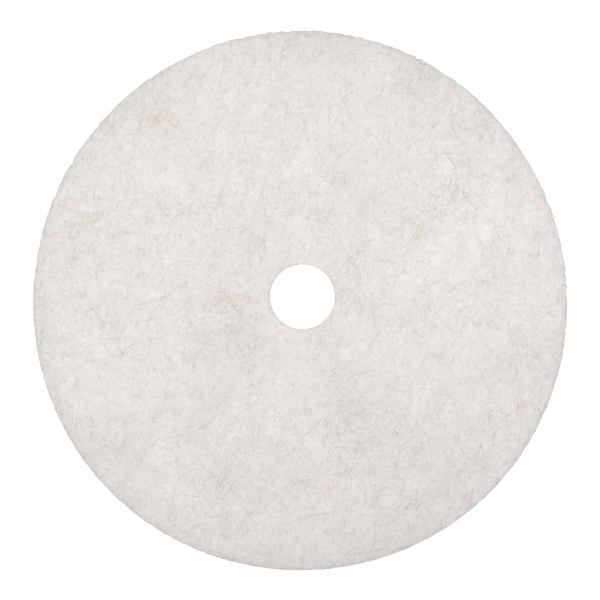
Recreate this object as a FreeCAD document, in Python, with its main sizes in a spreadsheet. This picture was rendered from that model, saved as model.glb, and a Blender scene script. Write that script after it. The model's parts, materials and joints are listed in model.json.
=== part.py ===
import FreeCAD, Part
import os

import Sketcher

# A felt polishing pad: one die-cut disc of lofty nonwoven felt, laid up from five bonded plies.
# Millimetres. The pad lies on its back face. The origin is on the axis of the centre hole, in
# the plane of the back face, and +Z points out of the working face.

# The driving dimensions: alias, millimetres, meaning.
SIZES = (
    ("outline_width", 682.5, "die-cut outline across X, a little narrower than it is tall"),
    ("outline_height", 689.1, "die-cut outline across Y"),
    ("hole_diameter", 82.55, "centre hole, 3 1/4 inch"),
    ("hole_shift_right", 2.6, "from the middle of the outline to the hole's axis, along X"),
    ("hole_shift_up", 5.6, "from the middle of the outline to the hole's axis, along Y"),
    ("pad_thickness", 25.4, "all plies together, 1 inch"),
    ("face_thickness", 3.2, "each resin-rich face ply"),
    ("core_inset", 0.8, "how far the softer core plies stand back from the rim of the faces"),
    ("rim_rounding", 2.0, "radius on the outer edge of each face"),
)

CORE_PLIES = ("back_core_ply", "middle_core_ply", "front_core_ply")
CORE_THICKNESS = f"(sizes.pad_thickness - 2 * sizes.face_thickness) / {len(CORE_PLIES)}"


def make_size_sheet(doc):
    """The spreadsheet that every sketch and feature reads its dimensions from."""
    sheet = doc.addObject("Spreadsheet::Sheet", "sizes")
    for row, (alias, value, meaning) in enumerate(SIZES, start=1):
        sheet.set(f"A{row}", alias)
        sheet.set(f"B{row}", str(value))
        sheet.set(f"C{row}", meaning)
        sheet.setAlias(f"B{row}", alias)
    return sheet


def origin_plane(body, role):
    """One of the body's own origin planes."""
    return next(plane for plane in body.Origin.OriginFeatures if plane.Role == role)


def size_of(sheet, alias):
    """A cell's number in millimetres."""
    return float(sheet.get(alias))


def draw_outline(sketch, sheet, inset):
    """The ply's slightly oval outline, with the round centre hole at the sketch's origin."""
    centre = FreeCAD.Vector(
        -size_of(sheet, "hole_shift_right"), -size_of(sheet, "hole_shift_up"), 0
    )
    half_width = FreeCAD.Vector(size_of(sheet, "outline_width") / 2, 0, 0)
    half_height = FreeCAD.Vector(0, size_of(sheet, "outline_height") / 2, 0)
    oval = sketch.addGeometry(
        Part.Ellipse(centre + half_height, centre - half_width, centre), False
    )
    sketch.exposeInternalGeometry(oval)
    long_axis, short_axis = oval + 1, oval + 2
    hole = sketch.addGeometry(
        Part.Circle(
            FreeCAD.Vector(0, 0, 0),
            FreeCAD.Vector(0, 0, 1),
            size_of(sheet, "hole_diameter") / 2,
        ),
        False,
    )
    sketch.addConstraint(Sketcher.Constraint("Coincident", hole, 3, -1, 1))
    sketch.addConstraint(Sketcher.Constraint("Vertical", long_axis))

    driven = (
        ("Diameter", (hole,), "hole_diameter", "sizes.hole_diameter"),
        ("Distance", (long_axis,), "outline_height", f"sizes.outline_height - 2 * {inset}"),
        ("Distance", (short_axis,), "outline_width", f"sizes.outline_width - 2 * {inset}"),
        ("DistanceX", (oval, 3, -1, 1), "hole_shift_right", "sizes.hole_shift_right"),
        ("DistanceY", (oval, 3, -1, 1), "hole_shift_up", "sizes.hole_shift_up"),
    )
    for kind, geometry, alias, expression in driven:
        index = sketch.addConstraint(
            Sketcher.Constraint(kind, *geometry, size_of(sheet, alias))
        )
        sketch.renameConstraint(index, alias)
        sketch.setExpression(f"Constraints.{alias}", expression)


def make_ply(doc, sheet, name, bottom, thickness, inset="0"):
    """One ply as its own body, standing on the height that the expression bottom gives."""
    body = doc.addObject("PartDesign::Body", name)
    body.Label = name
    body.setExpression("Placement.Base.z", bottom)

    sketch = body.newObject("Sketcher::SketchObject", f"{name}_outline")
    sketch.AttachmentSupport = [(origin_plane(body, "XY_Plane"), "")]
    sketch.MapMode = "FlatFace"
    draw_outline(sketch, sheet, inset)

    pad = body.newObject("PartDesign::Pad", f"{name}_pad")
    pad.Profile = sketch
    pad.setExpression("Length", thickness)
    doc.recompute()
    return body


def round_outer_edge(doc, body, height):
    """Rounds the ply's outer edge that lies at the given height above its own sketch."""
    pad = body.Tip
    shape = pad.Shape
    outer_edges = [
        f"Edge{number}"
        for number, edge in enumerate(shape.Edges, start=1)
        if edge.Curve.TypeId == "Part::GeomEllipse"
        and abs(edge.CenterOfMass.z - height) < 1e-6
    ]
    rounding = body.newObject("PartDesign::Fillet", f"{body.Name}_rounding")
    rounding.Base = (pad, outer_edges)
    rounding.setExpression("Radius", "sizes.rim_rounding")
    doc.recompute()
    if rounding.Shape.Volume >= shape.Volume:
        raise RuntimeError(f"{body.Label}: the rounding took nothing off the rim")


def make_back_face(doc, sheet):
    """The skin towards the pad driver, rounded where it meets the back."""
    ply = make_ply(doc, sheet, "back_face_ply", "0", "sizes.face_thickness")
    round_outer_edge(doc, ply, 0)
    return ply


def make_core(doc, sheet, name, number):
    """One of the equal lofty plies between the faces, counted from the back."""
    bottom = f"sizes.face_thickness + {number} * {CORE_THICKNESS}"
    return make_ply(doc, sheet, name, bottom, CORE_THICKNESS, "sizes.core_inset")


def make_front_face(doc, sheet):
    """The working skin, rounded where it meets the front."""
    bottom = "sizes.pad_thickness - sizes.face_thickness"
    ply = make_ply(doc, sheet, "front_face_ply", bottom, "sizes.face_thickness")
    round_outer_edge(doc, ply, size_of(sheet, "face_thickness"))
    return ply


def check(doc, plies):
    """Stops if any object failed or any ply is not one valid closed solid."""
    for item in doc.Objects:
        if {"Invalid", "Error"} & set(item.State):
            raise RuntimeError(f"{item.Label} is {item.State}")
    for ply in plies:
        if ply.Shape.isNull() or not ply.Shape.isValid() or len(ply.Shape.Solids) != 1:
            raise RuntimeError(f"{ply.Label} is not one valid solid")


def main():
    doc = FreeCAD.newDocument("felt_polishing_pad")
    sheet = make_size_sheet(doc)
    doc.recompute()

    plies = [make_back_face(doc, sheet)]
    plies += [make_core(doc, sheet, name, number) for number, name in enumerate(CORE_PLIES)]
    plies.append(make_front_face(doc, sheet))
    doc.recompute()
    check(doc, plies)

    os.makedirs("parts", exist_ok=True)
    for ply in plies:
        ply.Shape.exportStep(f"parts/{ply.Label}.step")
        box = ply.Shape.optimalBoundingBox(True, False)
        print(
            f"{ply.Label}: z {box.ZMin:.2f} to {box.ZMax:.2f}, "
            f"{box.XLength:.2f} x {box.YLength:.2f} mm, {ply.Shape.Volume / 1000:.1f} cm3"
        )


main()
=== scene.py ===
import json
import math

import bpy
import numpy as np
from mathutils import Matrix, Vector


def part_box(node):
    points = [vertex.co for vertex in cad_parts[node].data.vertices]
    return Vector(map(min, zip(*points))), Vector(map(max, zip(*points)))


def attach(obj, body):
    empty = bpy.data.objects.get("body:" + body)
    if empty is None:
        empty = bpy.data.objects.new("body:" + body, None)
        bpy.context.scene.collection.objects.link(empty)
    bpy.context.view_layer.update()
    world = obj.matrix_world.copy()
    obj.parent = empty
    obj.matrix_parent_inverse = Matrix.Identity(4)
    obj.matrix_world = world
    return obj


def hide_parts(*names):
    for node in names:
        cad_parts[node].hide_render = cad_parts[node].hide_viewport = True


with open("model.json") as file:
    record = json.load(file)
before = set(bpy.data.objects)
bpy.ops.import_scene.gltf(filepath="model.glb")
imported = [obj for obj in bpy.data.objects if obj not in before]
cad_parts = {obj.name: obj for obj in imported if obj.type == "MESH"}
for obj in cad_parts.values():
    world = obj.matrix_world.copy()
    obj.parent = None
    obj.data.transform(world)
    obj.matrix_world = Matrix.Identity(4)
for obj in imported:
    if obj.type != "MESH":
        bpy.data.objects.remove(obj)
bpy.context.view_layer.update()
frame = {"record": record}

# The looks of a round nonwoven felt polishing pad. Metres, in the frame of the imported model:
# the pad lies on its back face at z = 0 and its centre hole is on the Z axis.

MM = 0.001
TURN = 2 * math.pi

# ---------------------------------------------------------------- sizes read from the frame

FACE_LOW, FACE_HIGH = (np.array(corner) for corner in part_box("front_face_ply"))
CORE_HIGH = np.array(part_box("middle_core_ply")[1])
CENTRE = (FACE_LOW + FACE_HIGH)[:2] / 2
HALF = (FACE_HIGH - FACE_LOW)[:2] / 2
CORE_INSET = float((FACE_HIGH - CORE_HIGH)[0])
TOP = float(FACE_HIGH[2])
HOLE = next(
    mount["dims"]["r_mm"] * MM
    for mount in frame["record"]["mounts"]
    if mount["name"] == "centre_hole"
)
MEAN_RADIUS = float(HALF.mean())
WEB_WIDTH = MEAN_RADIUS - HOLE

# ---------------------------------------------------------------- seeded noise

# A hash of whole numbers: a large odd number for each input, (shift, factor) for each stir, a
# last shift, and what keeps 32 bits and turns them into -1 to 1.
HASH_INPUTS = (374761393, 668265263, 1274126177, 2246822519)
HASH_STIRS = ((13, 1103515245), (16, 1597334677))
LAST_SHIFT = 15
LOW_32_BITS, HALF_RANGE = 0xFFFFFFFF, 2.0**31


def lattice(i, j, k, seed):
    """A repeatable random number from -1 to 1 for each whole-number point."""
    n = sum(value * factor for value, factor in zip((i, j, k, seed), HASH_INPUTS)) & LOW_32_BITS
    for shift, factor in HASH_STIRS:
        n = ((n ^ (n >> shift)) * factor) & LOW_32_BITS
    return (n ^ (n >> LAST_SHIFT)) / HALF_RANGE - 1.0


def noise(x, y, z, cell, seed):
    """Smooth noise from -1 to 1, with features about one cell across in each direction."""
    scaled = [np.asarray(v, float) / c for v, c in zip((x, y, z), cell)]
    scaled = np.broadcast_arrays(*scaled)
    whole = [np.floor(v).astype(np.int64) for v in scaled]
    part = [v - w for v, w in zip(scaled, whole)]
    ease = [p * p * (3 - 2 * p) for p in part]
    total = np.zeros(scaled[0].shape)
    for corner in range(8):
        step = (corner & 1, corner >> 1 & 1, corner >> 2)
        weight = np.ones_like(total)
        for along, e in zip(step, ease):
            weight *= e if along else 1 - e
        total += weight * lattice(*(w + s for w, s in zip(whole, step)), seed)
    return total


# ---------------------------------------------------------------- the pad's shape

# The faces' relief: (size of the lumps, height), both in metres.
RELIEF = ((0.075, 0.00045), (0.026, 0.00030), (0.010, 0.00018), (0.0052, 0.00008))
RELIEF_DEPTH = sum(height for _, height in RELIEF)

# How far the die-cut outline leaves a true oval: (lobes, metres, phase in degrees).
OUT_OF_ROUND = ((3, 0.0009, 100), (4, 0.0003, 145))

# The die's teeth and burrs: how long each is round the rim, and how far it stands in or out.
# They are strongest at the pad's +Y side.
TOOTH_SIZE, TOOTH_HEIGHT = 5.6 * MM, 0.62 * MM
BURR_SIZE, BURR_HEIGHT = 2.3 * MM, 0.46 * MM
TOOTHED, TOOTHED_SWING = 0.80, 0.20
TOOTH_SEED, BURR_SEED = 51, 52

# Small nicks that the die's teeth left in the rim, as directions in degrees.
NICKS = (4, 64, 76, 93, 124, 149, 157, 330, 335, 342, 354)
NICK_DEPTH = 1.3 * MM
NICK_WIDTH = 2.6 * MM

# The rounded rim and the softer lip of the hole: how far in they reach, and how far they drop.
RIM_WIDTH, RIM_DROP = 6.0 * MM, 2.0 * MM
LIP_WIDTH, LIP_DROP = 3.0 * MM, 1.4 * MM


def relief(x, y, seed):
    """Height of a face's lumps above the pad's mean face."""
    total = np.zeros(np.broadcast(x, y).shape)
    for octave, (size, height) in enumerate(RELIEF):
        total += height * noise(x, y, 0.0, (size, size, size), seed + octave)
    return total


def fluting(angle):
    """How far the cut rim stands in or out at each direction, from the die's teeth."""
    arc = angle * MEAN_RADIUS
    x, y = np.cos(angle) * MEAN_RADIUS, np.sin(angle) * MEAN_RADIUS
    teeth = noise(x, y, 0.0, (TOOTH_SIZE,) * 3, TOOTH_SEED)
    burrs = noise(x, y, 0.0, (BURR_SIZE,) * 3, BURR_SEED)
    toothed = TOOTHED + TOOTHED_SWING * np.sin(angle)
    total = toothed * (TOOTH_HEIGHT * teeth + BURR_HEIGHT * burrs)
    for direction in NICKS:
        away = (arc - math.radians(direction) * MEAN_RADIUS) / NICK_WIDTH
        total = total - NICK_DEPTH * np.exp(-(away**2))
    return total


def rim_point(angle, inset=0.0):
    """The outline at each direction from its centre, moved in by the inset."""
    spread = np.zeros_like(angle)
    for lobes, height, phase in OUT_OF_ROUND:
        spread += height * np.cos(lobes * angle + math.radians(phase))
    return np.stack(
        [
            CENTRE[0] + (HALF[0] + spread - inset) * np.cos(angle),
            CENTRE[1] + (HALF[1] + spread - inset) * np.sin(angle),
        ],
        axis=-1,
    )


def hole_point(angle, inset=0.0):
    """The centre hole's wall at each direction, moved into the felt by the inset."""
    radius = HOLE + inset
    return np.stack([radius * np.cos(angle), radius * np.sin(angle)], axis=-1)


def inside_rim(x, y):
    """How far in from the cut rim each point is, in metres, as the rings of the rim count it."""
    right, up = x - CENTRE[0], y - CENTRE[1]
    angle = np.arctan2(up / HALF[1], right / HALF[0])
    rim = rim_point(angle) - CENTRE
    out = fluting(angle)
    inside = np.hypot(rim[..., 0], rim[..., 1]) + out - np.hypot(right, up)
    return inside / (1 + out / RIM_WIDTH)


def roll_off(distance, width, drop):
    """How far the face has dropped at a distance from its edge: a quarter oval."""
    near = np.clip(1 - distance / width, 0, 1)
    return drop * (1 - np.sqrt(1 - near**2))


def face_height(x, y, seed):
    """How far a face stands above its mean level: lumps, less what the rim and lip drop."""
    edge = roll_off(inside_rim(x, y), RIM_WIDTH, RIM_DROP)
    lip = roll_off(np.hypot(x, y) - HOLE, LIP_WIDTH, LIP_DROP)
    return relief(x, y, seed) - edge - lip


# ---------------------------------------------------------------- ply meshes

# Distances between vertices: over a face, along a wall, up a core ply's wall, and where hidden.
FINE = 2.7 * MM
WALL_STEP = 1.5 * MM
CORE_ROW = 0.75 * MM
COARSE = 14 * MM
FEWEST_IN_RING = 24

# How far a face's vertices are moved at random, as a share of their distance.
JITTER = 0.22

# Rows of vertices over the rounded lip of the hole and over the rounded rim.
LIP_ROWS, RIM_ROWS = 4, 8

# Where the rings of a hidden face lie: 0 at the hole and 1 at the rim.
HIDDEN_SHARES = (0.02, 0.08, 0.2, 0.4, 0.6, 0.8, 0.93, 0.965)

# Plies draw in beside a seam, and their hidden faces stop a little short of it.
SEAM_REACH, SEAM_DEPTH = 1.1 * MM, 0.55 * MM
FACE_GAP, CORE_GAP = 0.05 * MM, 0.03 * MM

# The cut fibres of a wall: size of the features in X, Y and Z, and how far they stand out.
WALL_STREAKS, STREAKS_DEPTH = (0.009, 0.009, 0.0011), 0.34 * MM
WALL_TUFTS, TUFTS_DEPTH = (0.0031, 0.0031, 0.0022), 0.30 * MM
HOLE_WALL_SEED, RIM_WALL_SEED = 71, 81
HOLE_ROUGHNESS = 0.6

# How far in from a cut edge its painted shade is darkest and how far that reaches, and the reach
# of the faint band of painted shade along the rim.
EDGE_SHADE_DARKEST = 2.0 * MM
EDGE_REACH = 2.5 * MM
BAND_REACH = 18.0 * MM


def stitch(inner, outer):
    """Triangles between two closed rings of vertex numbers, which may differ in length."""
    triangles = []
    i = j = 0
    while i < len(inner) or j < len(outer):
        here, there = inner[i % len(inner)], outer[j % len(outer)]
        step_inner = (i + 1) / len(inner) <= (j + 1) / len(outer)
        if j == len(outer) or (i < len(inner) and step_inner):
            i += 1
            triangles.append((here, there, inner[i % len(inner)]))
        else:
            j += 1
            triangles.append((here, there, outer[j % len(outer)]))
    return triangles


def ring_angles(radius, spacing):
    """The directions of a ring's vertices, which are about a spacing apart."""
    number = max(FEWEST_IN_RING, round(TURN * radius / spacing))
    return np.arange(number) / number * TURN


class RingMesh:
    """A closed mesh built ring by ring: up the hole, out over a face, down the rim and back."""

    def __init__(self, seed):
        self.rng = np.random.default_rng(seed)
        self.rings = []
        self.points = []
        self.edge = []
        self.band = []
        self.count = 0

    def add(self, points, from_edge, at_rim=True, hidden=False):
        """Keeps a ring of points that are so many metres in from the rim or the hole."""
        self.rings.append((range(self.count, self.count + len(points)), hidden))
        self.points.append(points)
        # Painted shade: darkest a little in from a cut edge, and a faint band of it fading in from
        # the rim.
        edge = math.exp(-(((from_edge - EDGE_SHADE_DARKEST) / EDGE_REACH) ** 2))
        self.edge.append(np.full(len(points), edge))
        band = math.exp(-from_edge / BAND_REACH) if at_rim else 0.0
        self.band.append(np.full(len(points), band))
        self.count += len(points)

    def build(self, name, material):
        """Joins each ring to the one before it. Faces at a hidden ring stay flat."""
        faces, smooth = [], []
        for number, (ring, hidden) in enumerate(self.rings):
            before, hidden_before = self.rings[number - 1]
            faces += stitch(before, ring)
            smooth += [not (hidden or hidden_before)] * (len(faces) - len(smooth))
        mesh = bpy.data.meshes.new(name)
        mesh.from_pydata(np.concatenate(self.points).tolist(), [], faces)
        mesh.polygons.foreach_set("use_smooth", smooth)
        for label, values in (("cut_edge", self.edge), ("rim_band", self.band)):
            layer = mesh.attributes.new(label, "FLOAT", "POINT")
            layer.data.foreach_set("value", np.concatenate(values).astype(np.float32))
        mesh.materials.append(material)
        mesh.validate()
        piece = bpy.data.objects.new(name, mesh)
        bpy.context.scene.collection.objects.link(piece)
        return piece


def wall_texture(x, y, z, seed):
    """How far a wall's cut fibres stand out: streaks that run round the pad, and tufts."""
    streaks = noise(x, y, z, WALL_STREAKS, seed)
    tufts = noise(x, y, z, WALL_TUFTS, seed + 1)
    return STREAKS_DEPTH * streaks + TUFTS_DEPTH * tufts


def seam_recess(z, low, high):
    """How far a ply's wall draws in beside the seams at its top and bottom."""
    near = np.minimum(z - low, high - z) / SEAM_REACH
    return SEAM_DEPTH * np.clip(1 - near, 0, 1) ** 2


def at_height(flat, height):
    """Flat points lifted to a height, which is one number or one for each point."""
    return np.column_stack([flat, np.broadcast_to(height, len(flat))])


def hole_ring(height, inset):
    """A ring on the wall of the centre hole."""
    angle = ring_angles(HOLE, WALL_STEP)
    flat = hole_point(angle)
    texture = wall_texture(flat[:, 0], flat[:, 1], height, HOLE_WALL_SEED)
    return at_height(hole_point(angle, inset - HOLE_ROUGHNESS * texture), height)


def rim_ring(height, inset, flute=1.0):
    """A ring on the pad's outer wall, with so much of the cut's teeth in it."""
    angle = ring_angles(MEAN_RADIUS, WALL_STEP)
    flat = rim_point(angle)
    texture = wall_texture(flat[:, 0], flat[:, 1], height, RIM_WALL_SEED)
    out = flute * (fluting(angle) + texture)
    return at_height(rim_point(angle, inset - out), height)


def web_ring(build, share, spacing, jitter=0.0):
    """A ring across the pad's face: share is 0 at the hole and 1 at the rim."""
    angle = ring_angles(HOLE + share * WEB_WIDTH, spacing)
    step = TURN / len(angle)
    angle = angle + jitter * step * build.rng.uniform(-1, 1, len(angle))
    share = share + jitter * spacing / WEB_WIDTH * build.rng.uniform(-1, 1, len(angle))
    share = share[:, None]
    return (1 - share) * hole_point(angle) + share * rim_point(angle)


def interface(build, height, outward):
    """The hidden face where one ply is bonded to the next."""
    for share in HIDDEN_SHARES if outward else reversed(HIDDEN_SHARES):
        build.add(at_height(web_ring(build, share, COARSE), height), WEB_WIDTH, hidden=True)


def rounded_edge(width, drop, rows):
    """(inset, drop) along a quarter oval, from the wall in to the flat face."""
    for row in range(rows):
        turn = row / rows * math.pi / 2
        yield width * (1 - math.cos(turn)), drop * (1 - math.sin(turn))


def low_and_high(node):
    """The heights of a node's underside and top."""
    return (corner[2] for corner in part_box(node))


def mean_face(low, high):
    """A face's mean level above its ply's foot, low enough for the lumps."""
    return high - low - RELIEF_DEPTH * 0.5


def face_ply(name, node, material, seed, upward):
    """A face ply, with its seam towards the core and its lumpy face outward."""
    low, high = low_and_high(node)
    build = RingMesh(seed)
    height_of_face = mean_face(low, high)

    build.add(hole_ring(FACE_GAP, SEAM_DEPTH), 0.0, at_rim=False)
    for inset, drop in rounded_edge(LIP_WIDTH, LIP_DROP, LIP_ROWS):
        ring = hole_ring(height_of_face - drop, inset)
        ring[:, 2] += relief(ring[:, 0], ring[:, 1], seed) * (1 - drop / LIP_DROP)
        build.add(ring, inset, at_rim=False)

    first = LIP_WIDTH / WEB_WIDTH
    last = 1 - RIM_WIDTH / WEB_WIDTH
    rows = round((last - first) * WEB_WIDTH / (FINE * math.sin(math.pi / 3)))
    for row in range(rows):
        share = first + (last - first) * (row + 0.5) / rows
        flat = web_ring(build, share, FINE, JITTER)
        lumps = relief(flat[:, 0], flat[:, 1], seed)
        at_rim = share > 0.5
        from_edge = (1 - share if at_rim else share) * WEB_WIDTH
        build.add(at_height(flat, height_of_face + lumps), from_edge, at_rim)

    for inset, drop in reversed(list(rounded_edge(RIM_WIDTH, RIM_DROP, RIM_ROWS))):
        ring = rim_ring(height_of_face - drop, inset, 1 - inset / RIM_WIDTH)
        ring[:, 2] += relief(ring[:, 0], ring[:, 1], seed) * (1 - drop / RIM_DROP)
        build.add(ring, inset)
    build.add(rim_ring(FACE_GAP, SEAM_DEPTH), 0.0)
    interface(build, FACE_GAP, outward=False)

    for points in build.points:
        points[:, 2] = low + points[:, 2] if upward else high - points[:, 2]
    if not upward:
        build.rings = build.rings[::-1]
    return build.build(name, material)


def core_ply(name, node, material, seed):
    """A core ply: its cut walls show at the rim and in the hole, the rest is hidden."""
    low, high = low_and_high(node)
    build = RingMesh(seed)
    rows = round((high - low) / CORE_ROW)
    heights = low + (high - low) * (np.arange(rows + 1) / rows)
    heights[0] += CORE_GAP
    heights[-1] -= CORE_GAP
    for height in heights:
        recess = float(seam_recess(height, low, high))
        build.add(hole_ring(height, recess), 0.0, at_rim=False)
    interface(build, heights[-1], outward=True)
    for height in heights[::-1]:
        recess = float(seam_recess(height, low, high))
        build.add(rim_ring(height, recess + CORE_INSET), 0.0)
    interface(build, heights[0], outward=False)
    return build.build(name, material)


# ---------------------------------------------------------------- strands

# Most fibres in the web lie near one direction, the one that it was carded in.
WEB_DIRECTION = math.radians(69)

# How a strand thins towards its ends: how far from a point its ends stop, and how soon it thins.
BLUNT_END = 0.18
TAPER_POWER = 0.5

# A strand that leans this little from upright takes +X as its side. Nothing is divided by 0.
UPRIGHT_BELOW = 0.05
SMALLEST = 1e-12


def web_headings(rng, number, lean):
    """Random directions, which favour the web's own direction by the lean, 0 to 1."""
    heading = rng.uniform(0, TURN, number)
    return heading - lean / 2 * np.sin(2 * (heading - WEB_DIRECTION))


def random_curls(rng, number, curl, wave):
    """What bends each strand: a steady turn, and a swing with its period and phase."""
    turn = rng.normal(0, curl, (number, 1))
    swing = rng.normal(0, curl, (number, 1))
    period = rng.uniform(0.5, 1.5, (number, 1)) * wave
    return turn, swing, period, rng.uniform(0, TURN, (number, 1))


def curled_paths(start, heading, length, points, curls):
    """Flat curled lines from their starts: x, y and metres along, at each point."""
    turn, swing, period, phase = curls
    metres = np.linspace(0, 1, points)[None, :] * length[:, None]
    sway = swing * period * (np.sin(metres / period + phase) - np.sin(phase))
    direction = heading[:, None] + turn * metres + sway
    step = length[:, None] / (points - 1)
    x = start[:, :1] + np.cumsum(np.cos(direction) * step, axis=1)
    y = start[:, 1:] + np.cumsum(np.sin(direction) * step, axis=1)
    return x, y, metres


def strand_mesh(name, paths, radius, materials, shades):
    """One mesh of closed three-sided tubes, thinned at both ends, with a shade for each tube."""
    number, count, _ = paths.shape
    ahead = np.gradient(paths, axis=1)
    ahead /= np.linalg.norm(ahead, axis=2, keepdims=True) + SMALLEST
    side = np.cross(ahead, [0.0, 0.0, 1.0])
    length = np.linalg.norm(side, axis=2, keepdims=True)
    side = np.where(length > UPRIGHT_BELOW, side / np.maximum(length, SMALLEST), [1.0, 0.0, 0.0])
    over = np.cross(side, ahead)
    taper = np.sin(np.linspace(BLUNT_END, math.pi - BLUNT_END, count)) ** TAPER_POWER
    thick = radius[:, None, None] * taper[None, :, None]
    corners = [
        paths + thick * (math.cos(a) * over + math.sin(a) * side)
        for a in (0, TURN / 3, 2 * TURN / 3)
    ]
    verts = np.stack(corners, axis=2).reshape(-1, 3)

    first = (np.arange(number) * count * 3)[:, None, None]
    rows = (np.arange(count - 1) * 3)[None, :, None]
    here = first + rows + np.arange(3)[None, None, :]
    beside = first + rows + np.array([1, 2, 0])[None, None, :]
    quads = np.stack([here, beside, beside + 3, here + 3], axis=-1).reshape(-1, 4)
    foot = first[:, 0, :] + np.array([2, 1, 0])
    tip = first[:, 0, :] + (count - 1) * 3 + np.array([0, 1, 2])

    mesh = bpy.data.meshes.new(name)
    mesh.from_pydata(verts.tolist(), [], quads.tolist() + foot.tolist() + tip.tolist())
    slots = np.concatenate([np.repeat(shades, (count - 1) * 3), shades, shades])
    for material in materials:
        mesh.materials.append(material)
    mesh.polygons.foreach_set("material_index", slots.astype(np.int32))
    mesh.polygons.foreach_set("use_smooth", [True] * len(mesh.polygons))
    piece = bpy.data.objects.new(name, mesh)
    bpy.context.scene.collection.objects.link(piece)
    return piece


# Places where hair lies thicker: x, y and radius in metres, and weight. Both faces have them.
THICK_SPOTS = (
    (0.168, 0.285, 0.035, 1.3),
    (0.150, 0.085, 0.030, 0.8),
    (0.200, 0.134, 0.030, 0.7),
    (-0.265, 0.080, 0.030, 0.7),
    (-0.100, -0.040, 0.055, 0.5),
    (0.110, -0.190, 0.070, 0.5),
)

# How thick hair lies: on average, how far clumps change it, and at least. A cut edge adds to it,
# within a reach.
MEAN_DENSITY, CLUMPED, LEAST_DENSITY = 0.45, 0.34, 0.05
EDGE_DENSITY, EDGE_DENSITY_REACH = 0.4, 10 * MM

# Clumps of hair: (size in metres, weight).
CLUMPS = ((0.070, 1.0), (0.028, 0.6))


def hair_density(x, y, seed):
    """How likely a start is kept: hair lies in clumps, and thicker at spots and cut edges."""
    clumps = 0.0
    for octave, (size, weight) in enumerate(CLUMPS):
        clumps = clumps + weight * noise(x, y, 0.0, (size,) * 3, seed + octave)
    density = MEAN_DENSITY + CLUMPED * clumps
    for spot_x, spot_y, radius, weight in THICK_SPOTS:
        density = density + weight * np.exp(-((x - spot_x) ** 2 + (y - spot_y) ** 2) / radius**2)
    near_rim = EDGE_DENSITY * np.exp(-inside_rim(x, y) / EDGE_DENSITY_REACH)
    near_hole = EDGE_DENSITY * np.exp((HOLE - np.hypot(x, y)) / EDGE_DENSITY_REACH)
    return np.clip(density, LEAST_DENSITY, 1.0) + near_rim + near_hole


def on_face(x, y, past=0.0):
    """True where a strand is still on the felt, or no further past its cut edge than allowed."""
    return (inside_rim(x, y) > -past) & (np.hypot(x, y) > HOLE - past)


def scatter(rng, number, density_seed):
    """Random starts over the face, thicker where the hair lies thicker."""
    kept = np.zeros((0, 2))
    while len(kept) < number:
        spots = CENTRE + rng.uniform(-1, 1, (number, 2)) * HALF
        x, y = spots.T
        likely = hair_density(x, y, density_seed) > rng.uniform(0, 1, number)
        kept = np.concatenate([kept, spots[likely & on_face(x, y)]])
    return kept[:number]


# Strands lie in wisps: how far apart their starts are, in metres, and how far they splay.
WISP_SPREAD = 1.3 * MM
WISP_SPLAY = 0.14

# Strands on the back face stay at least this far above z = 0.
LOWEST_STRAND = 0.1 * MM


def face_strands(name, side, seed, number, look, materials):
    """Hairs or fibres that weave in and out of a face, and end at the cut or just past it."""
    rng = np.random.default_rng(seed)
    wisps = number // look["in_wisp"]
    number = wisps * look["in_wisp"]
    start = np.repeat(scatter(rng, wisps, look["clumps"]), look["in_wisp"], axis=0)
    heading = np.repeat(web_headings(rng, wisps, look["lean"]), look["in_wisp"])
    curls = random_curls(rng, wisps, look["curl"], look["wave"])
    curls = [np.repeat(values, look["in_wisp"], axis=0) for values in curls]
    start = start + rng.normal(0, WISP_SPREAD, start.shape)
    heading = heading + rng.normal(0, WISP_SPLAY, number)
    shortest, longest = look["length"]
    length = shortest * (longest / shortest) ** rng.uniform(0, 1, number)
    points = look["points"]
    x, y, _ = curled_paths(start, heading, length, points, curls)
    past = rng.uniform(*look["past_cut"], (number, 1))
    steps = np.cumprod(on_face(x, y, past), axis=1).sum(axis=1) - 1
    kept = steps > 1
    length = (length * steps / (points - 1))[kept]
    curls = [values[kept] for values in curls]
    x, y, metres = curled_paths(start[kept], heading[kept], length, points, curls)
    number = len(length)

    weave = rng.uniform(0.5, 1.5, (number, 1)) * look["weave_length"]
    phase = rng.uniform(0, TURN, (number, 1))
    lift = rng.uniform(*look["lift"], (number, 1))
    lift = lift + look["weave_height"] * np.sin(metres / weave * TURN + phase)
    low, high = low_and_high(f"{side}_face_ply")
    face = mean_face(low, high) + face_height(x, y, FACE_SEED[side]) + lift
    z = low + face if side == "front" else np.maximum(high - face, LOWEST_STRAND)
    thinnest, thickest = look["radius"]
    radius = thinnest * (thickest / thinnest) ** rng.uniform(0, 1, number)
    shades = rng.choice(len(materials), number, p=look["shares"])
    return strand_mesh(name, np.stack([x, y, z], axis=-1), radius, materials, shades)


# Fibres in the walls: the heights that they start between, and those that they stay between.
WALL_STARTS = 1.0 * MM, TOP - 1.6 * MM
WALL_LIMITS = 0.3 * MM, TOP - 1.2 * MM

# How far they lean from level, how deep their ends lie, and how far they follow the die's teeth.
WALL_LEAN = 0.32
BURIED_AT_RIM, BURIED_IN_HOLE = 0.5 * MM + CORE_INSET, 0.9 * MM
FOLLOWS_TEETH = 0.8


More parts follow.
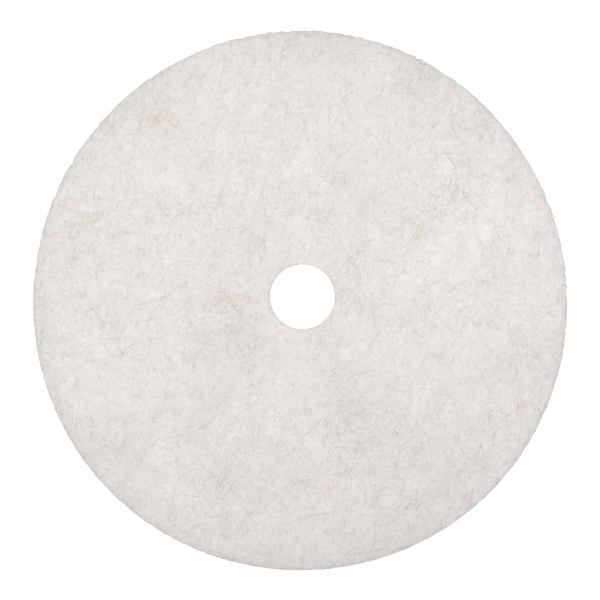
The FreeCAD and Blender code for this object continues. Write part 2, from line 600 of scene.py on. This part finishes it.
def wall_strands(name, seed, number, look, materials, at_rim=True):
    """Cut fibres that loop out of the rim or out of the hole's wall."""
    rng = np.random.default_rng(seed)
    size = MEAN_RADIUS if at_rim else HOLE
    arc = rng.uniform(0, TURN * size, number)
    height = rng.uniform(*WALL_STARTS, number)
    heading = rng.normal(0, WALL_LEAN, number) + math.pi * rng.integers(0, 2, number)
    length = rng.uniform(*look["length"], number)
    start = np.column_stack([arc, height])
    curls = random_curls(rng, number, look["curl"], look["wave"])
    u, z, metres = curled_paths(start, heading, length, look["points"], curls)
    z = np.clip(z, *WALL_LIMITS)
    share = metres / length[:, None]
    bulge = rng.uniform(*look["bulge"], (number, 1)) * np.sin(share * math.pi)
    angle = u / size
    if at_rim:
        flat = rim_point(angle, BURIED_AT_RIM - bulge - FOLLOWS_TEETH * fluting(angle))
    else:
        flat = hole_point(angle, BURIED_IN_HOLE - bulge)
    paths = np.concatenate([flat, z[..., None]], axis=-1)
    radius = rng.uniform(*look["radius"], number)
    shades = rng.choice(len(materials), number, p=look["shares"])
    return strand_mesh(name, paths, radius, materials, shades)


# ---------------------------------------------------------------- materials


class Shading:
    """Short names for building one material's nodes."""

    def __init__(self, name):
        self.material = bpy.data.materials.new(name)
        self.material.use_nodes = True
        self.tree = self.material.node_tree
        self.shader = self.tree.nodes["Principled BSDF"]

    def node(self, kind, **settings):
        """A new node with its settings."""
        made = self.tree.nodes.new(kind)
        for setting, value in settings.items():
            setattr(made, setting, value)
        return made

    def feed(self, socket, value):
        """Gives an input another node's output, or a constant."""
        if isinstance(value, bpy.types.NodeSocket):
            self.tree.links.new(value, socket)
        else:
            socket.default_value = value

    def math(self, operation, *values, clamp=False):
        """The result of one operation, kept from 0 to 1 where it is clamped."""
        made = self.node("ShaderNodeMath", operation=operation, use_clamp=clamp)
        for socket, value in zip(made.inputs, values):
            self.feed(socket, value)
        return made.outputs[0]

    def place(self):
        """The point being shaded, in metres."""
        return self.node("ShaderNodeTexCoord").outputs["Object"]

    def clouds(self, place, size, detail=2.0, rough=0.5):
        """Noise from 0 to 1 with features of a size in metres."""
        made = self.node("ShaderNodeTexNoise")
        self.feed(made.inputs["Vector"], place)
        made.inputs["Scale"].default_value = 1 / size
        made.inputs["Detail"].default_value = detail
        made.inputs["Roughness"].default_value = rough
        return made.outputs[0]

    def stretched(self, place, turn, along, across):
        """Noise drawn out into streaks in one direction."""
        made = self.node("ShaderNodeMapping", vector_type="TEXTURE")
        self.feed(made.inputs["Vector"], place)
        made.inputs["Rotation"].default_value = (0, 0, turn)
        made.inputs["Scale"].default_value = (along, across, across)
        streaks = self.node("ShaderNodeTexNoise")
        self.feed(streaks.inputs["Vector"], made.outputs[0])
        streaks.inputs["Scale"].default_value = 1
        streaks.inputs["Detail"].default_value = 1
        return streaks.outputs[0]

    def blend(self, factor, first, second, mode="MIX"):
        """The second colour laid over the first by a factor from 0 to 1, in a blend mode."""
        made = self.node("ShaderNodeMix", data_type="RGBA", blend_type=mode)
        colours = [socket for socket in made.inputs if socket.type == "RGBA"]
        self.feed(made.inputs[0], factor)
        self.feed(colours[0], first)
        self.feed(colours[1], second)
        return next(socket for socket in made.outputs if socket.type == "RGBA")


# Where warm fibre is gathered in the front web: x, y and radius, in metres.
WARM_SPOTS = (
    (0.195, 0.135, 0.045),
    (0.165, 0.180, 0.022),
    (0.145, 0.083, 0.025),
    (-0.265, 0.083, 0.035),
    (-0.180, 0.230, 0.040),
    (-0.090, 0.290, 0.025),
    (-0.025, 0.290, 0.022),
    (-0.090, -0.005, 0.050),
    (-0.135, -0.055, 0.045),
    (-0.250, -0.150, 0.028),
    (0.055, -0.240, 0.050),
    (0.285, -0.140, 0.022),
)

# Broad darker areas of the front web, and lighter ones, which have a strength below zero: x, y and
# radius in metres, and strength. The patch left of the hole and the one near the top right are
# darker fibre; the rest is painted shade towards the bottom and the top, and painted light at the
# right and the left.
DULL_PATCHES_AND_PAINTED_LIGHT = (
    (-0.090, -0.060, 0.085, 0.035),
    (0.055, -0.110, 0.120, 0.040),
    (0.170, -0.230, 0.170, 0.035),
    (0.020, -0.345, 0.170, 0.050),
    (0.168, 0.290, 0.045, 0.030),
    (0.000, 0.320, 0.120, 0.045),
    (0.200, 0.080, 0.190, -0.050),
    (-0.270, -0.060, 0.140, -0.035),
)

# Streaks and patches curl: the size of the curls, and how far they push a place in X and Y.
CURL_SIZE, CURL_REACH = 16 * MM, 18 * MM


def wandering(s, place):
    """The place, pushed on by 0 to CURL_REACH, so that what is drawn with it curls."""
    wander = s.node("ShaderNodeTexNoise")
    s.feed(wander.inputs["Vector"], place)
    wander.inputs["Scale"].default_value = 1 / CURL_SIZE
    offset = s.node("ShaderNodeVectorMath", operation="MULTIPLY_ADD")
    s.feed(offset.inputs[0], wander.outputs["Color"])
    offset.inputs[1].default_value = (CURL_REACH, CURL_REACH, 0.0)
    s.feed(offset.inputs[2], place)
    return offset.outputs[0]


# Fields of noise drawn out along a direction: (length, width) of their features, in metres.
THREAD_FIELD = (0.014, 0.0038)
STRING_FIELD = (0.013, 0.0036)
STREAK_FIELD = (0.011, 0.0010)

# A thread is where its field is this close to the middle of its range.
THREAD_WIDTH = 0.030

# Streaks lie in so many directions, and favour the web's own by so much.
STREAK_TURNS = 5
STREAK_FAVOUR = 0.7

# How far above its level a field has to be for a patch or a string to be at full strength.
PATCH_FADE = 0.15


def threads(s, place, turns):
    """Thin curling lines in several directions, 1 on a line and 0 away from it."""
    total = 0.0
    for turn in turns:
        field = s.stretched(place, turn, *THREAD_FIELD)
        away = s.math("ABSOLUTE", s.math("SUBTRACT", field, 0.5))
        near = s.node("ShaderNodeMapRange", interpolation_type="SMOOTHSTEP")
        s.feed(near.inputs["Value"], away)
        near.inputs["From Min"].default_value = THREAD_WIDTH
        near.inputs["From Max"].default_value = 0.0
        total = s.math("ADD", total, near.outputs[0])
    return total


def near_spot(s, place, x, y, radius, most):
    """From 0 away from a spot on the front face to the most at its middle."""
    away = s.node("ShaderNodeVectorMath", operation="DISTANCE")
    s.feed(away.inputs[0], place)
    away.inputs[1].default_value = (x, y, TOP)
    near = s.node("ShaderNodeMapRange", interpolation_type="SMOOTHSTEP")
    s.feed(near.inputs["Value"], away.outputs["Value"])
    near.inputs["From Min"].default_value = radius
    near.inputs["From Max"].default_value = 0.0
    near.inputs["To Max"].default_value = most
    return near.outputs[0]


def above(s, field, level):
    """From 0 where a field is at a level to 1 where it is well above it."""
    near = s.node("ShaderNodeMapRange", interpolation_type="SMOOTHSTEP")
    s.feed(near.inputs["Value"], field)
    near.inputs["From Min"].default_value = level
    near.inputs["From Max"].default_value = level + PATCH_FADE
    return near.outputs[0]


def patches(s, place, size, level, lift=0.0):
    """Scattered ragged patches, 1 inside them. A lift, or a lower level, makes more of them."""
    return above(s, s.math("ADD", s.clouds(place, size, 1.0, 0.6), lift), level)


def strings(s, place, turn, level, lift):
    """Scattered curling strings of fibre, 1 on them, which lie near one direction."""
    return above(s, s.math("ADD", s.stretched(place, turn, *STRING_FIELD), lift), level)


def crossing_streaks(s, place):
    """Fine streaks in several directions, strongest along the web."""
    total, weights = 0.0, 0.0
    for layer in range(STREAK_TURNS):
        turn = WEB_DIRECTION + layer * math.pi / STREAK_TURNS
        weight = 1 + STREAK_FAVOUR * math.cos(2 * (turn - WEB_DIRECTION))
        one = s.stretched(place, turn, *STREAK_FIELD)
        total = s.math("MULTIPLY_ADD", one, weight, total)
        weights += weight
    return s.math("MULTIPLY", total, 1 / weights)


# What raises the number of patches: their clusters, warm spots, and the rim, where the extra
# bluish patches are painted cool light, and where there are more rosy and green ones.
CLUSTER_SIZE, CLUSTER_LIFT = 0.090, 0.15
WARM_SPOT_LIFT = 0.12
PAINTED_COOL_LIGHT_LIFT, ROSY_RIM_LIFT = 0.16, 0.10

# Broad greenish areas: their size, and what turns the noise into them.
GREEN_SIZE, GREEN_GAIN, GREEN_OFFSET = 0.130, 2.0, -0.6

# The broad areas of painted shade and painted light, and the darker patches, take this share of
# their strength from red, and all of it from green and blue.
AREA_RED_SHARE = 0.92


def felt_tints(s, colour, place, web, curled, warm_spots, dull_patches_and_painted_light):
    """Patches of warmer, rosier, bluer, greener and darker fibre, painted cool light at the rim,
    and broad areas of painted shade and painted light.
    """
    rim = s.node("ShaderNodeAttribute", attribute_name="rim_band").outputs["Fac"]
    clusters = s.clouds(web, CLUSTER_SIZE, 1.0)
    cluster = s.math("MULTIPLY_ADD", clusters, 2 * CLUSTER_LIFT, -CLUSTER_LIFT)
    warm = cluster
    for x, y, radius in warm_spots:
        warm = s.math("ADD", warm, near_spot(s, place, x, y, radius, WARM_SPOT_LIFT))
    # More bluish patches along the rim: painted cool light.
    blue = s.math("MULTIPLY_ADD", rim, PAINTED_COOL_LIGHT_LIFT, s.math("MULTIPLY", cluster, -1.0))
    at_rim = s.math("MULTIPLY", rim, ROSY_RIM_LIFT)
    greens = s.clouds(web, GREEN_SIZE, 1.0)
    green = s.math("MULTIPLY_ADD", greens, GREEN_GAIN, GREEN_OFFSET, clamp=True)

    # Each layer is where it lies and its tint. Patches take a size in metres and a level.
    layers = (
        (green, (0.985, 1.0, 0.996)),
        (patches(s, curled, 0.0120, 0.64, blue), (0.955, 0.970, 1.0)),
        (patches(s, curled, 0.0110, 0.615, warm), (0.990, 0.964, 0.934)),
        (strings(s, curled, WEB_DIRECTION + 0.3, 0.67, warm), (0.965, 0.925, 0.895)),
        (strings(s, curled, WEB_DIRECTION - 1.0, 0.68, warm), (0.970, 0.925, 0.910)),
        (patches(s, curled, 0.0080, 0.65, at_rim), (1.0, 0.930, 0.955)),
        (patches(s, curled, 0.0050, 0.665), (0.995, 0.945, 0.962)),
        (patches(s, curled, 0.0090, 0.62, at_rim), (0.968, 1.0, 0.985)),
        (patches(s, web, 0.0150, 0.65), (0.955, 0.950, 0.948)),
        (patches(s, web, 0.0070, 0.66), (0.895, 0.888, 0.882)),
    )
    for amount, tint in layers:
        colour = s.blend(amount, colour, (*tint, 1), mode="MULTIPLY")
    # Broad painted shade towards the bottom and the top, painted light at the right and the left,
    # and two darker patches of fibre.
    for x, y, radius, strength in dull_patches_and_painted_light:
        near = near_spot(s, curled, x + CURL_REACH / 2, y + CURL_REACH / 2, radius, 1.0)
        area_tint = (1 - AREA_RED_SHARE * strength, 1 - strength, 1 - strength, 1)
        colour = s.blend(near, colour, area_tint, mode="MULTIPLY")
    return colour


# How far clouds are drawn out along the web and across it.
WEB_DRAW = (1.2, 0.95, 1)


def along_web(s, place):
    """The place, drawn in along the web, so that clouds made with it are longer that way."""
    made = s.node("ShaderNodeMapping", vector_type="TEXTURE")
    s.feed(made.inputs["Vector"], place)
    made.inputs["Rotation"].default_value = (0, 0, WEB_DIRECTION)
    made.inputs["Scale"].default_value = WEB_DRAW
    return made.outputs[0]


# The felt's clouds: (name of the contrast, size in metres, detail, roughness).
TONE_CLOUDS = (
    ("broad", 0.085, 2.0, 0.5),
    ("cloud", 0.026, 2.0, 0.5),
    ("tuft", 0.008, 3.0, 0.6),
)

# The directions of dark and light threads, in radians.
SHADED_TURNS = (0.0, 0.8, 1.6, 2.4)
BRIGHT_TURNS = (0.4, 1.2, 2.0, 2.8)

# The painted shade along a cut edge is broken into patches: their size, and what turns the noise
# into them.
RAGGED_SIZE, RAGGED_GAIN, RAGGED_OFFSET = 4.2 * MM, 3.4, -1.2

# Roughness: the size of its changes, how far it changes, and its least.
MATT_SIZE, MATT_CHANGE, MATT_LEAST = 5.0 * MM, 0.12, 0.86

# The bump on top of the real relief: a fuzz of this size, and the share of streaks and threads.
FUZZ_SIZE, BUMP_STREAKS, BUMP_THREADS = 1.2 * MM, 1.2, 0.25


def felt_material(name, light, dark, contrast, warm_spots=(), dull_patches_and_painted_light=()):
    """Random-laid felt: clouds, crossing fibres, tinted patches, and painted shade along the cut
    edge and the rim.
    """
    s = Shading(name)
    place = s.place()
    curled = wandering(s, place)
    web = along_web(s, place)
    streaks = crossing_streaks(s, curled)
    shaded = threads(s, curled, SHADED_TURNS)
    bright = threads(s, curled, BRIGHT_TURNS)

    tone = 0.0
    for key, size, detail, rough in TONE_CLOUDS:
        tone = s.math("MULTIPLY_ADD", s.clouds(web, size, detail, rough), contrast[key], tone)
    tone = s.math("MULTIPLY_ADD", streaks, contrast["streak"], tone)
    tone = s.math("MULTIPLY_ADD", shaded, contrast["thread"], tone)
    tone = s.math("MULTIPLY_ADD", bright, -contrast["thread"], tone)
    middle = 0.5 * sum(contrast[key] for key in ("broad", "cloud", "tuft", "streak"))
    tone = s.math("ADD", tone, contrast["level"] - middle, clamp=True)
    colour = s.blend(tone, (*light, 1), (*dark, 1))
    colour = felt_tints(s, colour, place, web, curled, warm_spots, dull_patches_and_painted_light)

    # Painted shade along the cut edges, broken into ragged patches, and a faint band of painted
    # shade along the rim.
    cut = s.node("ShaderNodeAttribute", attribute_name="cut_edge").outputs["Fac"]
    breaks = s.clouds(place, RAGGED_SIZE, 2.0)
    ragged = s.math("MULTIPLY_ADD", breaks, RAGGED_GAIN, RAGGED_OFFSET, clamp=True)
    colour = s.blend(s.math("MULTIPLY", cut, ragged), colour, contrast["edge"], mode="MULTIPLY")
    rim = s.node("ShaderNodeAttribute", attribute_name="rim_band").outputs["Fac"]
    colour = s.blend(rim, colour, contrast["band"], mode="MULTIPLY")
    s.feed(s.shader.inputs["Base Color"], colour)

    changes = s.clouds(place, MATT_SIZE, 2.0)
    matt = s.math("MULTIPLY_ADD", changes, MATT_CHANGE, MATT_LEAST, clamp=True)
    s.feed(s.shader.inputs["Roughness"], matt)
    s.shader.inputs["Specular IOR Level"].default_value = 0.2
    s.shader.inputs["Sheen Weight"].default_value = 0.12
    s.shader.inputs["Sheen Roughness"].default_value = 0.6

    fuzz = s.clouds(curled, FUZZ_SIZE, 2.0, 0.7)
    height = s.math("MULTIPLY_ADD", streaks, BUMP_STREAKS, fuzz)
    height = s.math("MULTIPLY_ADD", bright, BUMP_THREADS, height)
    bump = s.node("ShaderNodeBump")
    bump.inputs["Strength"].default_value = 0.6
    bump.inputs["Distance"].default_value = 0.9 * MM
    s.feed(bump.inputs["Height"], height)
    s.feed(s.shader.inputs["Normal"], bump.outputs[0])
    return s.material


def strand_material(name, colour, rough=0.6, shine=0.35):
    """One shade of hair or fibre."""
    s = Shading(name)
    s.shader.inputs["Base Color"].default_value = (*colour, 1)
    s.shader.inputs["Roughness"].default_value = rough
    s.shader.inputs["Specular IOR Level"].default_value = shine
    return s.material


# ---------------------------------------------------------------- the pad

FACE_SEED = {"front": 11, "back": 31}
CORE_SEED = 41

# A felt's contrast: how strongly each kind of cloud, streak and thread shows, the tone's level,
# and the tints of the painted shade at the cut edge and in the band along the rim.
face_felt = felt_material(
    "face_felt",
    light=(0.892, 0.849, 0.828),
    dark=(0.614, 0.571, 0.550),
    contrast={
        "broad": 0.42, "cloud": 0.47, "tuft": 0.05, "streak": 0.93, "thread": 0.070, "level": 0.18,
        "edge": (0.88, 0.893, 0.930, 1), "band": (0.93, 0.93, 0.935, 1),
    },
    warm_spots=WARM_SPOTS,
    dull_patches_and_painted_light=DULL_PATCHES_AND_PAINTED_LIGHT,
)
core_felt = felt_material(
    "core_felt",
    light=(0.88, 0.845, 0.820),
    dark=(0.57, 0.530, 0.505),
    contrast={
        "broad": 0.20, "cloud": 0.24, "tuft": 0.32, "streak": 1.1, "thread": 0.06, "level": 0.22,
        "edge": (0.92, 0.935, 0.955, 1), "band": (0.96, 0.965, 0.97, 1),
    },
)

HAIR_SHADES = {
    "hair_dark": (0.073, 0.056, 0.048),
    "hair_brown": (0.156, 0.116, 0.099),
    "hair_russet": (0.290, 0.166, 0.128),
    "hair_grey": (0.240, 0.228, 0.222),
    "hair_fawn": (0.460, 0.370, 0.305),
}
hair_materials = [strand_material(name, colour) for name, colour in HAIR_SHADES.items()]

FIBRE_SHADES = {
    "fibre_white": (0.96, 0.945, 0.93),
    "fibre_cream": (0.88, 0.83, 0.79),
    "fibre_grey": (0.70, 0.68, 0.67),
    "fibre_dull": (0.55, 0.50, 0.47),
}
fibre_materials = [
    strand_material(name, colour, 0.7, 0.25) for name, colour in FIBRE_SHADES.items()
]

# How strands look: lengths, radii and heights are in metres, curl is in radians for each metre,
# clumps is a seed, lean is what web_headings takes, and shares are of the shades above.
BOLD_HAIR = {
    "clumps": 301, "points": 21, "length": (0.018, 0.072), "curl": 20, "wave": 0.018, "lean": 0.7,
    "weave_length": 0.050, "weave_height": 0.15 * MM, "lift": (-0.08 * MM, 0.18 * MM),
    "radius": (0.024 * MM, 0.062 * MM), "shares": (0.36, 0.32, 0.10, 0.17, 0.05),
    "past_cut": (-0.5 * MM, 0.3 * MM), "in_wisp": 2,
}
FINE_HAIR = {
    "clumps": 311, "points": 13, "length": (0.008, 0.042), "curl": 36, "wave": 0.009, "lean": 0.7,
    "weave_length": 0.020, "weave_height": 0.24 * MM, "lift": (-0.18 * MM, 0.10 * MM),
    "radius": (0.020 * MM, 0.048 * MM), "shares": (0.20, 0.32, 0.12, 0.21, 0.15),
    "past_cut": (-0.5 * MM, 0.5 * MM), "in_wisp": 2,
}
FACE_FIBRE = {
    "clumps": 321, "points": 7, "length": (0.008, 0.026), "curl": 50, "wave": 0.006, "lean": 0.7,
    "weave_length": 0.010, "weave_height": 0.30 * MM, "lift": (-0.12 * MM, 0.24 * MM),
    "radius": (0.04 * MM, 0.11 * MM), "shares": (0.46, 0.22, 0.18, 0.14),
    "past_cut": (-0.3 * MM, 0.8 * MM), "in_wisp": 1,
}
WALL_FIBRE = {
    "points": 7, "length": (0.005, 0.018), "curl": 60, "wave": 0.006,
    "bulge": (0.5 * MM, 1.2 * MM), "radius": (0.06 * MM, 0.12 * MM),
    "shares": (0.36, 0.32, 0.22, 0.10),
}
WALL_HAIR = {
    "points": 8, "length": (0.008, 0.026), "curl": 45, "wave": 0.008,
    "bulge": (0.5 * MM, 1.1 * MM), "radius": (0.035 * MM, 0.07 * MM),
    "shares": (0.20, 0.30, 0.20, 0.20, 0.10),
}

# How many strands are started in one piece, so that it stays under the export's limit of faces.
FINE_HAIRS = 2600
FIBRES = 5200


def make_plies():
    """The five bonded plies, each in place of its plain node."""
    made = []
    for side in ("back", "front"):
        node = f"{side}_face_ply"
        ply = face_ply(f"{side}_face_felt", node, face_felt, FACE_SEED[side], side == "front")
        made.append((ply, node, "felt_face"))
    for number, place in enumerate(("back", "middle", "front")):
        node = f"{place}_core_ply"
        ply = core_ply(f"{place}_core_felt", node, core_felt, CORE_SEED + number)
        made.append((ply, node, "felt_core"))
    for piece, node, slot in made:
        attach(piece, "root")
        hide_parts(node)


def make_strands():
    """Natural hair and pale fibre on both faces, at the rim and in the hole: seed and number."""
    hair = [
        face_strands("front_bold_hair", "front", 401, 1300, BOLD_HAIR, hair_materials),
        face_strands("front_fine_hair_one", "front", 402, FINE_HAIRS, FINE_HAIR, hair_materials),
        face_strands("front_fine_hair_two", "front", 407, FINE_HAIRS, FINE_HAIR, hair_materials),
        face_strands("front_fine_hair_three", "front", 408, FINE_HAIRS, FINE_HAIR, hair_materials),
        face_strands("back_bold_hair", "back", 403, 1000, BOLD_HAIR, hair_materials),
        face_strands("back_fine_hair", "back", 404, FINE_HAIRS, FINE_HAIR, hair_materials),
        wall_strands("rim_hair", 405, 700, WALL_HAIR, hair_materials),
        wall_strands("hole_hair", 406, 90, WALL_HAIR, hair_materials, at_rim=False),
    ]
    fibre = [
        face_strands("front_fibre_one", "front", 411, FIBRES, FACE_FIBRE, fibre_materials),
        face_strands("front_fibre_two", "front", 415, FIBRES, FACE_FIBRE, fibre_materials),
        face_strands("front_fibre_three", "front", 416, FIBRES, FACE_FIBRE, fibre_materials),
        face_strands("back_fibre_one", "back", 412, FIBRES, FACE_FIBRE, fibre_materials),
        face_strands("back_fibre_two", "back", 417, FIBRES, FACE_FIBRE, fibre_materials),
        wall_strands("rim_fibre", 413, 4200, WALL_FIBRE, fibre_materials),
        wall_strands("hole_fibre", 414, 520, WALL_FIBRE, fibre_materials, at_rim=False),
    ]
    for piece in hair + fibre:
        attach(piece, "root")


# ---------------------------------------------------------------- floor, light and camera

# What the camera frames: its middle, its width at the pad's top, and its height above that.
VIEW_MIDDLE = (-0.0031, -0.0042)
VIEW_WIDTH = 0.7652
CAMERA_HEIGHT = 6.0

# Half the floor's width, and how far it lies below the pad, clear of the loose fibres.
FLOOR_REACH = 14.0
FLOOR_DROP = 0.4 * MM


def make_floor():
    """A wide pale floor, with a little light of its own so that it stays white."""
    mesh = bpy.data.meshes.new("floor")
    ways = ((-1, -1), (1, -1), (1, 1), (-1, 1))
    corners = [(x * FLOOR_REACH, y * FLOOR_REACH, 0) for x, y in ways]
    mesh.from_pydata(corners, [], [(0, 1, 2, 3)])
    s = Shading("floor")
    s.shader.inputs["Base Color"].default_value = (0.82, 0.82, 0.82, 1)
    s.shader.inputs["Roughness"].default_value = 1.0
    s.shader.inputs["Specular IOR Level"].default_value = 0.0
    s.shader.inputs["Emission Color"].default_value = (1, 1, 1, 1)
    s.shader.inputs["Emission Strength"].default_value = 0.60
    mesh.materials.append(s.material)
    floor = bpy.data.objects.new("floor", mesh)
    floor.location.z = -FLOOR_DROP
    bpy.context.scene.collection.objects.link(floor)


def make_light():
    """A broad soft lamp above, a little towards +Y, in a dimmer white room."""
    lamp = bpy.data.lights.new("softbox", "AREA")
    lamp.shape = "RECTANGLE"
    lamp.size, lamp.size_y = 3.0, 0.8
    lamp.energy = 20
    softbox = bpy.data.objects.new("softbox", lamp)
    softbox.location = (0.0, 0.16, 1.5)
    bpy.context.scene.collection.objects.link(softbox)

    world = bpy.data.worlds.new("white_room")
    world.use_nodes = True
    bpy.context.scene.world = world
    nodes, links = world.node_tree.nodes, world.node_tree.links
    room = nodes["Background"]
    room.inputs["Strength"].default_value = 0.50
    room.inputs["Color"].default_value = (1, 1, 1, 1)
    backdrop = nodes.new("ShaderNodeBackground")
    backdrop.inputs["Color"].default_value = (1, 1, 1, 1)
    path = nodes.new("ShaderNodeLightPath")
    mix = nodes.new("ShaderNodeMixShader")
    links.new(path.outputs["Is Camera Ray"], mix.inputs[0])
    links.new(room.outputs[0], mix.inputs[1])
    links.new(backdrop.outputs[0], mix.inputs[2])
    links.new(mix.outputs[0], nodes["World Output"].inputs["Surface"])


def make_camera():
    """Straight above the pad, far enough back that the walls stay hidden."""
    camera = bpy.data.cameras.new("camera")
    camera.sensor_width = 36
    camera.lens = camera.sensor_width * CAMERA_HEIGHT / VIEW_WIDTH
    camera.clip_end = 50
    holder = bpy.data.objects.new("camera", camera)
    holder.location = (*VIEW_MIDDLE, TOP + CAMERA_HEIGHT)
    bpy.context.scene.collection.objects.link(holder)
    bpy.context.scene.camera = holder


bpy.context.scene.view_settings.view_transform = "Standard"
make_camera()
make_light()
make_floor()
make_plies()
make_strands()
